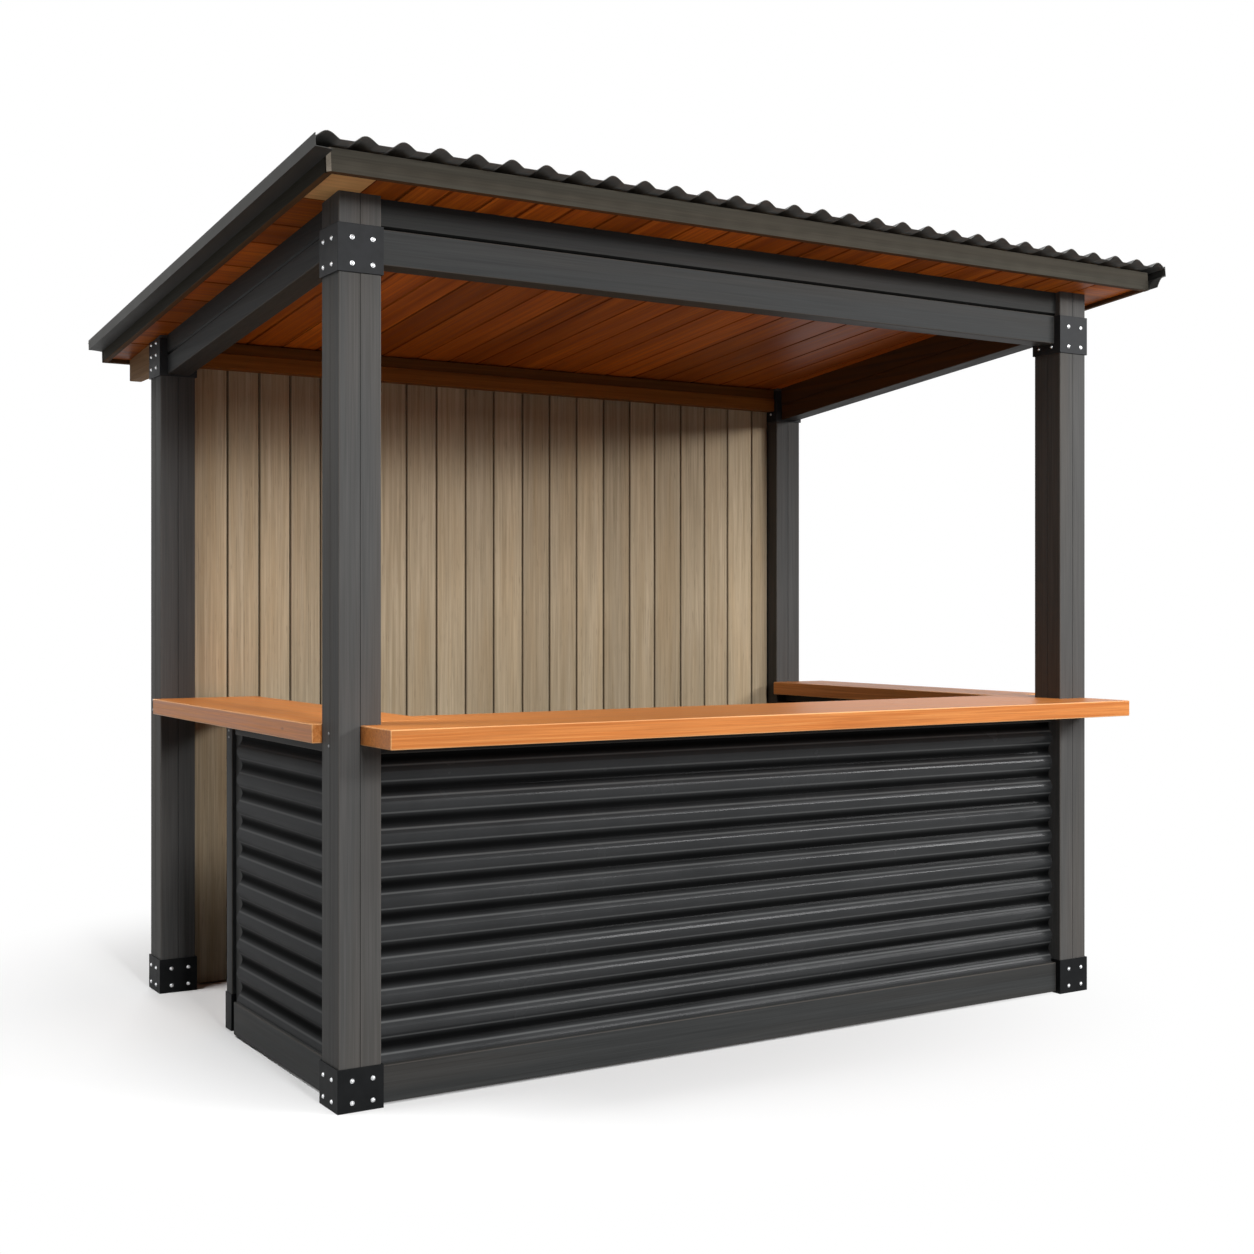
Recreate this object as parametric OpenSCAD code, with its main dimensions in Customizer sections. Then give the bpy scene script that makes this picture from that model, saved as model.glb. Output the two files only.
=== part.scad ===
// Garden bar: four posts under a single-slope roof, with a counter round three sides.
// The front faces -Y, the left side as seen from the front is -X, and Z rises from the ground.

/* [Frame] */
// Width across the outer faces of the posts
frame_w = 2850; // [2300:10:3400]
// Depth across the outer faces of the posts
frame_d = 1805; // [1600:5:2400]
// Side of a square post
post = 125; // [110:1:140]
// Height of the roof lining's underside at the front face of the front posts
soffit_h = 2500; // [2350:10:2700]
// Fall of the roof towards the back, in degrees
pitch = 5.25; // [3:0.25:8]
// Thickness of the beams
beam_t = 80; // [60:1:95]
// Height of the front beam
beam_h = 99; // [80:1:115]
// Height from the front beam's top to the lining, at the front face of the posts
front_plate_h = 85; // [70:1:110]
// Height of the side top plates under the lining
side_plate_h = 73; // [55:1:85]
// Height of the side beams under their top plates
side_beam_h = 67; // [50:1:85]

/* [Post fittings] */
// Thickness of the steel collars and feet
steel_t = 5; // [3:0.5:8]
// Height of the collars
collar_h = 133; // [120:1:160]
// Height of the feet
foot_h = 120; // [90:1:140]
// Thickness of a foot's base plate
base_t = 6; // [4:0.5:10]

/* [Counter] */
// Height of the counter's top
counter_h = 1050; // [950:5:1150]
// Thickness of the counter boards
counter_t = 54; // [40:1:65]
// Reach of the front counter in front of the posts
front_reach = 206; // [150:1:300]
// Depth of the front counter behind the front face of the posts
front_inner = 305; // [250:1:400]
// Reach of the left counter beyond the posts
left_reach = 28; // [10:1:60]
// Width of the left counter
left_w = 380; // [300:1:450]
// Reach of the right counter beyond the posts
right_reach = 125; // [60:1:160]
// Width of the right counter
right_w = 268; // [240:1:400]

/* [Cladding] */
// Wave length of the cladding sheets
clad_wave = 89; // [60:1:120]
// Depth of the cladding's waves
clad_wave_d = 19; // [12:1:24]
// Thickness of the cladding and roof sheets
sheet_t = 1.2; // [0.8:0.1:2]
// Distance of the sheets behind the outer faces of the posts
clad_setback = 38; // [34:1:50]
// Height of the plinth's top
plinth_top = 110; // [90:1:140]
// Distance of the front plinth behind the outer faces of the posts
plinth_setback = 15; // [5:1:30]
// Distance of the side plinths behind the outer faces of the posts
side_plinth_setback = 28; // [10:1:33]
// Height of the rail under the counter
rail_h = 30; // [20:1:50]
// Thickness of the rail under the counter
rail_t = 45; // [40:1:60]
// Distance of the rail behind the outer faces of the posts
rail_setback = 33; // [25:1:40]
// Section of the studs behind the sheets
stud = 45; // [35:1:60]
// Number of studs behind the front sheet
front_stud_count = 3; // [2:1:5]
// Number of studs behind the right sheet
right_stud_count = 2; // [1:1:4]
// Distance from the front face of the posts to the end of the left side's sheet
left_end = 962; // [800:1:990]
// Distance of the left side's jamb behind the front face of the posts
jamb_at = 1030; // [1000:1:1150]
// Width of the jamb's outer face
jamb_w = 54; // [40:1:70]
// Distance of the jamb behind the outer faces of the posts
jamb_setback = 45; // [35:1:55]
// Thickness of the jamb's foot
jamb_foot_t = 3; // [2:0.5:5]

/* [Back wall] */
// Distance of the wall boards behind the front faces of the back posts
wall_setback = 65; // [60:1:70]
// Thickness of the wall boards
wall_t = 20; // [15:1:22]
// Thickness of the rails behind the wall boards
back_rail_t = 30; // [15:1:32]
// Height of the back beam and of the middle back rail
back_rail_h = 95; // [70:1:120]
// Height and depth of the rail on the wall's inner face
wall_rail = 55; // [40:1:60]
// Distance of that rail below the lining
wall_rail_drop = 40; // [20:1:60]

/* [Roof] */
// Overhang of the front fascia in front of the posts
front_overhang = 163; // [130:1:250]
// Overhang of the back fascia behind the posts
back_overhang = 316; // [200:1:400]
// Overhang of the left barge board
left_overhang = 95; // [80:1:200]
// Overhang of the right barge board
right_overhang = 145; // [120:1:220]
// Thickness of the lining boards
lining_t = 18; // [12:1:24]
// Depth of the corner panels behind the front face of the posts
corner_d = 97; // [60:1:120]
// Height of the purlins
purlin_h = 42; // [40:1:70]
// Width of the purlins
purlin_w = 45; // [35:1:60]
// Number of purlins
purlin_count = 5; // [4:1:8]
// Thickness of the fascia and barge boards
fascia_t = 20; // [15:1:28]
// Gap between the fascia's top and the roof sheet
fascia_gap = 8; // [4:1:20]
// Distance of the fascia's lower edge below the lining
fascia_drop = 12; // [5:1:20]
// Wave length of the roof sheet, before it is fitted to a whole number of waves
roof_wave = 107; // [75:1:150]
// Depth of the roof sheet's waves
roof_wave_d = 19; // [14:1:26]
// Share of a roof wave that its rounded rib takes, the rest being flat
rib_share = 0.65; // [0.4:0.05:1]
// Distance from the roof sheet's side edges to the first crests
sheet_edge = 33; // [20:1:50]
// Lap of the roof sheet past the front fascia
front_lap = 40; // [20:1:80]
// Lap of the roof sheet past the back fascia
back_lap = 20; // [10:1:80]

/* [Barge flashing] */
// Reach of the lip beyond the barge board
lip_reach = 48; // [30:1:70]
// Height of the lip
lip_h = 36; // [20:1:45]
// Distance of the lip's top below the crests of the roof sheet
lip_drop = 11; // [5:1:20]
// Thickness of the flashing
flash_t = 2; // [1.5:0.1:3]
// Distance of the left return's edge above the barge board's lower edge
left_lift = 42; // [1:1:44]
// Distance of the right return's edge above the barge board's lower edge
right_lift = 1; // [1:1:40]
// Hollow of the returns: 1 is straight, and a larger number is more hollow
return_bow = 2.2; // [1:0.1:3]

/* [Rafter tails] */
// Thickness of a tail
tail_t = 45; // [35:1:60]
// Distance of a tail inside the outer face of the posts
tail_setback = 0; // [0:1:40]
// Height of a tail at the post
tail_h = 100; // [80:1:115]
// Fall of a tail's lower edge, in degrees
tail_fall = 2; // [0:0.25:5]
// Gap between a tail's end and the back fascia
tail_gap = 10; // [5:1:40]
// Length of the level cut under a tail's end
tail_cut = 110; // [60:1:130]

/* [Hidden] */

charcoal = "#434343";
beam_grey = "#3d3e3f";
steel_black = "#2b2c2e";
sheet_black = "#323334";
edge_grey = "#4b4946";
oiled_wood = "#c67a3d";
lining_wood = "#8a4a1e";
pale_wood = "#a97c4d";
wall_taupe = "#a3927a";
raw_wood = "#9a7653";

slope = tan(pitch);
// Points along one wave of a sheet
wave_steps = 16;
// Points along the curve of a flashing's return
return_steps = 6;

// Each plan measure below is taken from the left front corner of the posts.
right_post_x = frame_w - post;
back_post_y = frame_d - post;
post_axis = post / 2;
wall_y = back_post_y + wall_setback;
wall_back_y = wall_y + wall_t;

counter_under = counter_h - counter_t;
rail_under = counter_under - rail_h;
sheet_back = clad_setback + clad_wave_d + sheet_t;
beam_setback = (post - beam_t) / 2;
beam_line = soffit_h - front_plate_h;
side_front_y = post + steel_t;
side_back_y = back_post_y - steel_t;
back_collar_top = lining_z(frame_d + steel_t);

// Roof measures run in the sloping frame: v down the slope and w square to it.
front_v = -front_overhang;
back_v = frame_d / cos(pitch) + back_overhang;
purlin_w0 = lining_t;
sheet_w0 = lining_t + purlin_h;
crest_w = sheet_w0 + roof_wave_d + sheet_t;
lip_top_w = crest_w - lip_drop;
lip_low_w = lip_top_w - lip_h;
fascia_top_w = sheet_w0 - fascia_gap;
left_fall = lip_low_w + fascia_drop - left_lift;
right_fall = lip_low_w + fascia_drop - right_lift;
barge_left = -left_overhang;
barge_right = frame_w + right_overhang;
lip_left = barge_left - lip_reach;
lip_right = barge_right + lip_reach;
sheet_front_v = front_v - front_lap;
sheet_back_v = back_v + back_lap;

// The part's origin is under the middle of its box.
flash_low_w = lip_low_w - max(left_fall, right_fall);
front_edge = min(-front_reach, sheet_front_v * cos(pitch) + flash_low_w * sin(pitch));
back_edge = sheet_back_v * cos(pitch) + crest_w * sin(pitch);
middle = [(lip_left + lip_right) / 2, (front_edge + back_edge) / 2, 0];

// Height of the lining's underside at a distance behind the front of the posts
function lining_z(y) = soffit_h - slope * y;

// Height of a wave over its trough, as a share of its depth, from a crest at 0.
// A full wave is a cosine. A rib with a round top takes a share of the length, and the rest is flat.
function wave(turns, rib) =
    let (t = min(2 * abs(turns - round(turns)) / rib, 1))
        rib == 1 ? (1 + cos(180 * t)) / 2 : pow(1 - t * t, 1.5);

// Outline of a waved sheet: one face from start to end, and back along the other
function waved(start, end, crest, length, depth, rib = 1) =
    let (
        steps = ceil((end - start) / length * wave_steps),
        along = [for (i = [0 : steps]) start + (end - start) * i / steps],
        face = [for (a = along) [a, depth * wave((a - crest) / length, rib)]],
        n = len(face)
    )
    concat(face, [for (i = [1 : n]) face[n - i] + [0, sheet_t]]);

// A box from one corner to the opposite one
module block(from, to) translate(from) cube(to - from);

// A side profile, drawn as [y, z] points, between two places along X
module across(x0, x1, points)
    translate([x0, 0, 0]) rotate([90, 0, 90]) linear_extrude(x1 - x0) polygon(points);

// A front profile, drawn as [x, z] points, between two places along Y
module along(y0, y1, points)
    translate([0, y1, 0]) rotate([90, 0, 0]) linear_extrude(y1 - y0) polygon(points);

// Puts what is drawn from the posts' corner into the part's own frame
module placed() translate(-middle) children();

// Puts what is drawn as [x, v, w] on the slope of the roof
module on_slope() placed() translate([0, 0, soffit_h]) rotate([-pitch, 0, 0]) children();

// Mirrors what is drawn on the left side to the right side
module right_side() translate([frame_w, 0, 0]) mirror([1, 0, 0]) children();

module post_at(x, y)
    color(charcoal) placed()
        across(x, x + post, [
            [y, base_t], [y + post, base_t], [y + post, lining_z(y + post)], [y, lining_z(y)],
        ]);

// Square sleeve round an upright
module sleeve(x, y, size, t, low, high)
    difference() {
        block([x - t, y - t, low], [x + size.x + t, y + size.y + t, high]);
        block([x, y, low - t], [x + size.x, y + size.y, high + t]);
    }

// Foot: a sleeve closed by a base plate
module foot(x, y, size, t)
    difference() {
        block([x - t, y - t, 0], [x + size.x + t, y + size.y + t, foot_h]);
        block([x, y, base_t], [x + size.x, y + size.y, foot_h + t]);
    }

module front_left_post() post_at(0, 0);
module front_right_post() post_at(right_post_x, 0);
module back_left_post() post_at(0, back_post_y);
module back_right_post() post_at(right_post_x, back_post_y);

module post_collars()
    color(steel_black) placed()
        for (x = [0, right_post_x]) {
            sleeve(x, 0, [post, post], steel_t, beam_line - collar_h, beam_line);
            sleeve(x, back_post_y, [post, post], steel_t, back_collar_top - collar_h, back_collar_top);
        }

module post_feet()
    color(steel_black) placed()
        for (x = [0, right_post_x], y = [0, back_post_y])
            foot(x, y, [post, post], steel_t);

module front_beam()
    color(beam_grey) placed()
        block([post + steel_t, beam_setback, beam_line - beam_h],
              [right_post_x - steel_t, beam_setback + beam_t, beam_line]);

module front_top_plate()
    color(beam_grey) placed()
        across(post, right_post_x, [
            [beam_setback, beam_line],
            [beam_setback + beam_t, beam_line],
            [beam_setback + beam_t, lining_z(beam_setback + beam_t)],
            [beam_setback, lining_z(beam_setback)],
        ]);

// Timber on the left that falls with the roof from the front collar to the back one,
// between two distances below the lining
module side_timber(high, low)
    across(beam_setback, beam_setback + beam_t, [
        [side_front_y, lining_z(side_front_y) - low],
        [side_back_y, lining_z(side_back_y) - low],
        [side_back_y, lining_z(side_back_y) - high],
        [side_front_y, lining_z(side_front_y) - high],
    ]);

module side_beam() side_timber(side_plate_h, side_plate_h + side_beam_h);
module side_top_plate() side_timber(0, side_plate_h);

module left_beam() color(beam_grey) placed() side_beam();
module left_top_plate() color(beam_grey) placed() side_top_plate();
module right_beam() color(beam_grey) placed() right_side() side_beam();
module right_top_plate() color(beam_grey) placed() right_side() side_top_plate();

// Vertical boards as one slab, cut back round the collars and the feet
module back_wall()
    color(wall_taupe) placed()
        difference() {
            across(post, right_post_x, [
                [wall_y, base_t],
                [wall_back_y, base_t],
                [wall_back_y, lining_z(wall_back_y)],
                [wall_y, lining_z(wall_y)],
            ]);
            for (x = [post, right_post_x]) {
                block([x - steel_t, back_post_y, 0], [x + steel_t, frame_d, foot_h]);
                block([x - steel_t, back_post_y, back_collar_top - collar_h],
                      [x + steel_t, frame_d, back_collar_top]);
            }
        }

module back_beam()
    let (y = wall_back_y + back_rail_t)
        color(beam_grey) placed()
            across(post + steel_t, right_post_x - steel_t, [
                [wall_back_y, back_collar_top - back_rail_h],
                [y, back_collar_top - back_rail_h],
                [y, lining_z(y)],
                [wall_back_y, lining_z(wall_back_y)],
            ]);

// Bottom and middle rails that carry the wall boards
module back_rails()
    color(beam_grey) placed() {
        block([post + steel_t, wall_back_y, base_t],
              [right_post_x - steel_t, wall_back_y + back_rail_t, plinth_top]);
        block([post, wall_back_y, counter_h - back_rail_h],
              [right_post_x, wall_back_y + back_rail_t, counter_h]);
    }

module wall_rail()
    let (top = lining_z(wall_y) - wall_rail_drop, side = post + steel_t)
        color(lining_wood) placed()
            block([side, wall_y - wall_rail, top - wall_rail], [frame_w - side, wall_y, top]);

// Short rafter with a level cut under its end
module rafter_tail()
    let (
        start = frame_d + steel_t,
        end = (back_v - fascia_t) * cos(pitch) - tail_gap,
        low = lining_z(start) - tail_h,
        end_low = low - tan(tail_fall) * (end - tail_cut - start)
    )
        across(tail_setback, tail_setback + tail_t, [
            [start, low],
            [end - tail_cut, end_low],
            [end, end_low],
            [end, lining_z(end)],
            [start, lining_z(start)],
        ]);

module rafter_tails()
    color(raw_wood) placed() {
        rafter_tail();
        right_side() rafter_tail();
    }

module counter_board(outline)
    color(oiled_wood) placed()
        translate([0, 0, counter_under]) linear_extrude(counter_t) polygon(outline);

// Front counter, cut round both front posts and the end of the left counter
module front_counter()
    let (left_inner = left_w - left_reach)
        counter_board([
            [post_axis, -front_reach], [frame_w, -front_reach],
            [frame_w, 0], [right_post_x, 0], [right_post_x, post], [frame_w, post],
            [frame_w, front_inner], [left_inner, front_inner],
            [left_inner, post], [post, post], [post, 0], [post_axis, 0],
        ]);

module left_counter()
    let (inner = left_w - left_reach)
        counter_board([
            [-left_reach, post], [inner, post], [inner, back_post_y], [-left_reach, back_post_y],
        ]);

module right_counter()
    let (outer = frame_w + right_reach)
        counter_board([
            [outer - right_w, front_inner], [outer, front_inner],
            [outer, back_post_y], [outer - right_w, back_post_y],
        ]);

// Cladding profile from the plinth to the rail, as [distance behind the posts' face, height]
clad_profile = [
    for (p = waved(plinth_top, rail_under, plinth_top, clad_wave, clad_wave_d)) [sheet_back - p.y, p.x],
];

module front_cladding() color(sheet_black) placed() across(post, right_post_x, clad_profile);
module left_cladding() color(sheet_black) placed() along(post, left_end, clad_profile);
module right_cladding()
    color(sheet_black) placed() right_side() along(post, back_post_y, clad_profile);

module front_plinth()
    color(charcoal) placed()
        block([post + steel_t, plinth_setback, base_t], [right_post_x - steel_t, sheet_back, plinth_top]);

module side_plinth(to)
    block([side_plinth_setback, post + steel_t, base_t], [sheet_back, to, plinth_top]);

module left_plinth() color(charcoal) placed() side_plinth(left_end);
module right_plinth() color(charcoal) placed() right_side() side_plinth(back_post_y - steel_t);

module front_rail()
    color(charcoal) placed()
        block([post, rail_setback, rail_under], [right_post_x, rail_setback + rail_t, counter_under]);

module side_rail(to)
    block([rail_setback, post, rail_under], [rail_setback + rail_t, to, counter_under]);

module left_rail() color(charcoal) placed() side_rail(left_end);
module right_rail() color(charcoal) placed() right_side() side_rail(back_post_y);

module left_jamb()
    color(charcoal) placed()
        block([jamb_setback, jamb_at, base_t], [jamb_setback + rail_t, jamb_at + jamb_w, counter_under]);

module jamb_foot()
    color(steel_black) placed() foot(jamb_setback, jamb_at, [rail_t, jamb_w], jamb_foot_t);

// Stud that ties the end of the left sheet to the jamb, cut back round the jamb's foot
module left_stud()
    color(charcoal) placed()
        difference() {
            block([sheet_back, left_end - stud, base_t], [sheet_back + stud, jamb_at, rail_under]);
            block([jamb_setback - jamb_foot_t, jamb_at - jamb_foot_t, 0],
                  [jamb_setback + rail_t + jamb_foot_t, jamb_at + jamb_w, foot_h]);
        }

// Studs behind the front sheet, evenly spaced across its width
module front_studs()
    color(raw_wood) placed()
        for (i = [1 : front_stud_count])
            let (x = post + (right_post_x - post) * i / (front_stud_count + 1) - stud / 2)
                block([x, sheet_back, base_t], [x + stud, sheet_back + stud, rail_under]);

// Studs behind the right sheet, evenly spaced along its length
module right_studs()
    color(raw_wood) placed() right_side()
        for (i = [1 : right_stud_count])
            let (y = post + (back_post_y - post) * i / (right_stud_count + 1) - stud / 2)
                block([sheet_back, y, base_t], [sheet_back + stud, y + stud, rail_under]);

// Lining boards as a slab between the fascias and barge boards
module lining(x0, x1, v0, v1) block([x0, v0, 0], [x1, v1, lining_t]);

module ceiling()
    color(lining_wood) on_slope()
        lining(post_axis, frame_w - post_axis, front_v + fascia_t, back_v - fascia_t);

module left_soffit()
    color(lining_wood) on_slope()
        lining(barge_left + fascia_t, post_axis, corner_d, back_v - fascia_t);

module right_soffit()
    color(lining_wood) on_slope()
        lining(frame_w - post_axis, barge_right - fascia_t, corner_d, back_v - fascia_t);

module corner_panels()
    color(pale_wood) on_slope() {
        lining(barge_left + fascia_t, post_axis, front_v + fascia_t, corner_d);
        lining(frame_w - post_axis, barge_right - fascia_t, front_v + fascia_t, corner_d);
    }

module purlins()
    color(raw_wood) on_slope()
        for (i = [0 : purlin_count - 1])
            let (
                first = front_v + fascia_t,
                last = back_v - fascia_t - purlin_w,
                v = first + (last - first) * i / (purlin_count - 1)
            )
                block([barge_left + fascia_t, v, purlin_w0],
                      [barge_right - fascia_t, v + purlin_w, sheet_w0]);

module edge_board(x0, x1, v0, v1)
    color(edge_grey) on_slope()
        block([x0, v0, -fascia_drop], [x1, v1, fascia_top_w]);

module front_fascia() edge_board(barge_left, barge_right, front_v, front_v + fascia_t);
module back_fascia() edge_board(barge_left, barge_right, back_v - fascia_t, back_v);
module left_barge_board()
    edge_board(barge_left, barge_left + fascia_t, front_v + fascia_t, back_v - fascia_t);
module right_barge_board()
    edge_board(barge_right - fascia_t, barge_right, front_v + fascia_t, back_v - fascia_t);

// Edge trim: a lip beside the sheet, and a hollow return that comes in to the barge board.
// It is drawn outwards from the board's face, with the lip's lower edge at 0.
function return_curve(fall, inset) = [
    for (i = [0 : return_steps])
        let (s = i / return_steps)
            [(lip_reach - inset) * (1 - s), inset - fall * pow(s, return_bow)],
];

module flashing(fall)
    let (inside = return_curve(fall, flash_t))
        along(sheet_front_v, back_v, concat(
            [[lip_reach, lip_h]],
            return_curve(fall, 0),
            [for (i = [0 : return_steps]) inside[return_steps - i]],
            [[lip_reach - flash_t, lip_h]]
        ));

module left_flashing()
    color(edge_grey) on_slope()
        translate([barge_left, 0, lip_low_w]) mirror([1, 0, 0]) flashing(left_fall);

module right_flashing()
    color(edge_grey) on_slope()
        translate([barge_right, 0, lip_low_w]) flashing(right_fall);

// Waved roof sheet between the lips, with a whole number of waves between its first crests
module roof_sheet()
    let (
        left = lip_left + flash_t,
        right = lip_right - flash_t,
        crests = right - left - 2 * sheet_edge,
        length = crests / round(crests / roof_wave)
    )
        color(sheet_black) on_slope() translate([0, 0, sheet_w0])
            along(sheet_front_v, sheet_back_v,
                  waved(left, right, left + sheet_edge, length, roof_wave_d, rib_share));

front_left_post();
front_right_post();
back_left_post();
back_right_post();
post_collars();
post_feet();
front_beam();
front_top_plate();
left_beam();
left_top_plate();
right_beam();
right_top_plate();
back_wall();
back_beam();
back_rails();
wall_rail();
rafter_tails();
front_counter();
left_counter();
right_counter();
front_cladding();
left_cladding();
right_cladding();
front_plinth();
left_plinth();
right_plinth();
front_rail();
left_rail();
right_rail();
left_jamb();
jamb_foot();
front_studs();
left_stud();
right_studs();
ceiling();
left_soffit();
right_soffit();
corner_panels();
purlins();
front_fascia();
back_fascia();
left_barge_board();
right_barge_board();
left_flashing();
right_flashing();
roof_sheet();
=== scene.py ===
# %% [markdown]
# # A garden bar
# This lesson dresses the CAD model of a garden bar. Four stained posts carry a sloping corrugated roof,
# a timber counter runs round three sides, and a boarded wall closes the back.
# The CAD model is loaded first. It fixes every size and place, so each new piece is measured from it.

# %% Load the CAD model
import math
import random

import bmesh
import bpy
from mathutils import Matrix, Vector


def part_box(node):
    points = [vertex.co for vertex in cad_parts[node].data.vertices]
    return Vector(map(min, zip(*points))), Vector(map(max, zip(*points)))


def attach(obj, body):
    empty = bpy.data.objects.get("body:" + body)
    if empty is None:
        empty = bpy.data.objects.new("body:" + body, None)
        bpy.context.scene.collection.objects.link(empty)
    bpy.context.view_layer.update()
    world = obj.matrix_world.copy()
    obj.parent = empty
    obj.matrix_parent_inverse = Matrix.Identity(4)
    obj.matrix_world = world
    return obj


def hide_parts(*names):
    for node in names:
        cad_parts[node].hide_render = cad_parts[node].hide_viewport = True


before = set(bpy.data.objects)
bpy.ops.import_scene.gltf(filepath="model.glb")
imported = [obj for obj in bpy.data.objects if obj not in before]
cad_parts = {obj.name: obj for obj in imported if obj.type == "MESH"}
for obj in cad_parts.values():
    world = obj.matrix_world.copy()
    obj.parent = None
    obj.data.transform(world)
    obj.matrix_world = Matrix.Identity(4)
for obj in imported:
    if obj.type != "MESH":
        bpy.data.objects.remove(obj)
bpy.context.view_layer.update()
# One millimetre in metres, and dice that give the same numbers in every run
MM = 0.001
dice = random.Random(11)

# %% [markdown]
# ## The view
# The photograph is taken from the left of the front, at about head height, with the camera held level.
# A level camera keeps the posts upright, so the horizon is moved with the lens shift and not by tilting.
# The place, the turn and the focal length were fitted to the edges of the posts, counters and beams.

# %% Set the camera
PHOTO_PX = 1254
FOCAL_PX = 1671.2
HORIZON_PX = 611.4
TURN = math.radians(31.6)
EYE = Vector((-3.1534, -5.2273, 1.3607))

lens = bpy.data.cameras.new("photo_camera")
lens.sensor_width = 36.0
lens.lens = lens.sensor_width * FOCAL_PX / PHOTO_PX
lens.shift_y = (HORIZON_PX - PHOTO_PX / 2) / PHOTO_PX
camera = bpy.data.objects.new("photo_camera", lens)
camera.location = EYE
camera.rotation_euler = (math.pi / 2, 0.0, -TURN)
scene = bpy.context.scene
scene.collection.objects.link(camera)
scene.camera = camera
scene.view_settings.view_transform = "Standard"
print("camera", tuple(EYE), "lens", round(lens.lens, 2), "mm")

# %% [markdown]
# ## Two small helpers for finishes
# Colours are written as the hex values that an eye would read off the object. Blender's shaders work in
# linear light, so one function turns them. A second one adds a node, sets it up and links it.

# %% Colour and node helpers


def linear(hex_code):
    """A colour written as #rrggbb, in linear light."""
    parts = [int(hex_code[i:i + 2], 16) / 255 for i in (1, 3, 5)]
    return tuple(c / 12.92 if c <= 0.04045 else ((c + 0.055) / 1.055) ** 2.4 for c in parts) + (1.0,)


def add_node(tree, kind, settings=None, sockets=None):
    """Adds a node with its settings; a socket's value may be another node's output, which is linked."""
    made = tree.nodes.new(kind)
    for name, value in (settings or {}).items():
        setattr(made, name, value)
    for key, value in (sockets or {}).items():
        if isinstance(value, bpy.types.NodeSocket):
            tree.links.new(value, made.inputs[key])
        else:
            made.inputs[key].default_value = value
    return made


# A colour mix has several sockets of one name, so they are picked by number.
SHARE, COLOUR_A, COLOUR_B, MIXED = 0, 6, 7, 2
print("mid grey #808080 in linear light:", round(linear("#808080")[0], 3))

# %% [markdown]
# ## The studio
# The bar stands in a white room. A bright sky would light every side alike and leave no dark undersides, so
# what the camera sees of the room is plain white, while the light on the bar comes from five lamps.
# The key lamp stands far off in front of the left posts, and its light is nearly parallel: the front left
# post shades the one behind it, and the roof shades the top of the wall. A low lamp at the right lights the
# right posts, a steep one at the left lights the left side, and a steep one in front lights the counter's
# top. The low lamp is a narrow strip, which the waves of the cladding mirror as a thin line. The last lamp
# is for the back, which this camera doesn't see.

# %% Light the studio
WHITE = linear("#ffffff")
SKY_LIGHT = 0.02
# Each lamp's place, what it is turned to, its width and height in metres, and its power in watts
LAMPS = {
    "key_lamp": ((-1.9, -30.0, 11.0), (0.0, 0.0, 1.3), 3.5, 12.0, 6000),
    "right_lamp": ((4.8, -6.3, 3.6), (0.0, 0.0, 1.0), 4.0, 0.7, 330),
    "left_lamp": ((-4.4, 0.5, 8.0), (-1.0, 0.0, 1.2), 2.5, 2.5, 420),
    "front_lamp": ((0.5, -4.2, 8.5), (0.0, -1.0, 1.0), 4.0, 2.0, 300),
    "back_lamp": ((0.8, 8.5, 4.5), (0.0, 0.9, 1.2), 3.0, 3.0, 240),
}


def sees_background(tree):
    """1 for the rays that should meet a white background: from the camera, a gloss or a glass."""
    rays = add_node(tree, "ShaderNodeLightPath")
    gloss = add_node(tree, "ShaderNodeMath", {"operation": "MAXIMUM"}, {
        0: rays.outputs["Is Camera Ray"], 1: rays.outputs["Is Glossy Ray"]})
    return add_node(tree, "ShaderNodeMath", {"operation": "MAXIMUM"}, {
        0: gloss.outputs[0], 1: rays.outputs["Is Transmission Ray"]}).outputs[0]


world = bpy.data.worlds.new("studio_room")
world.use_nodes = True
room = world.node_tree
backdrop = room.nodes["Background"]
backdrop.inputs["Color"].default_value = WHITE
room_light = add_node(room, "ShaderNodeMapRange", {}, {
    "Value": sees_background(room), "To Min": SKY_LIGHT})
room.links.new(room_light.outputs[0], backdrop.inputs["Strength"])
scene.world = world

for name, (place, aim, width, height, watts) in LAMPS.items():
    lamp = bpy.data.lights.new(name, "AREA")
    lamp.shape = "RECTANGLE"
    lamp.size = width
    lamp.size_y = height
    lamp.energy = watts
    holder = bpy.data.objects.new(name, lamp)
    holder.location = place
    holder.rotation_euler = (Vector(aim) - Vector(place)).to_track_quat("-Z", "Y").to_euler()
    holder.visible_camera = False
    scene.collection.objects.link(holder)
print("lamps", ", ".join(LAMPS))

# %% [markdown]
# ## The paper floor
# The bar stands on white paper, which takes its shadow. One large square is enough for it. Near the bar it
# is lit like any other surface, and further off it fades to the plain white of the room, so its edge never
# shows. The fade lies round a point a little left of the middle and behind it, because the shadow in the
# photograph reaches furthest on that side. The paper throws back less light than it shows, which keeps the
# undersides of the roof and the counters dark.

# %% Lay the paper floor
PAPER_SIZE = 40.0
# The point that the fade lies round, and how far from it the fade starts and ends, in metres
FADE_CENTRE = (-0.3, 0.25, 0.0)
FADE_FROM = 1.1
FADE_TO = 2.4

paper_mesh = bpy.data.meshes.new("paper_floor")
half = PAPER_SIZE / 2
paper_corners = [(-half, -half, 0), (half, -half, 0), (half, half, 0), (-half, half, 0)]
paper_mesh.from_pydata(paper_corners, [], [(0, 1, 2, 3)])
paper_floor = bpy.data.objects.new("paper_floor", paper_mesh)
scene.collection.objects.link(paper_floor)

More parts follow.
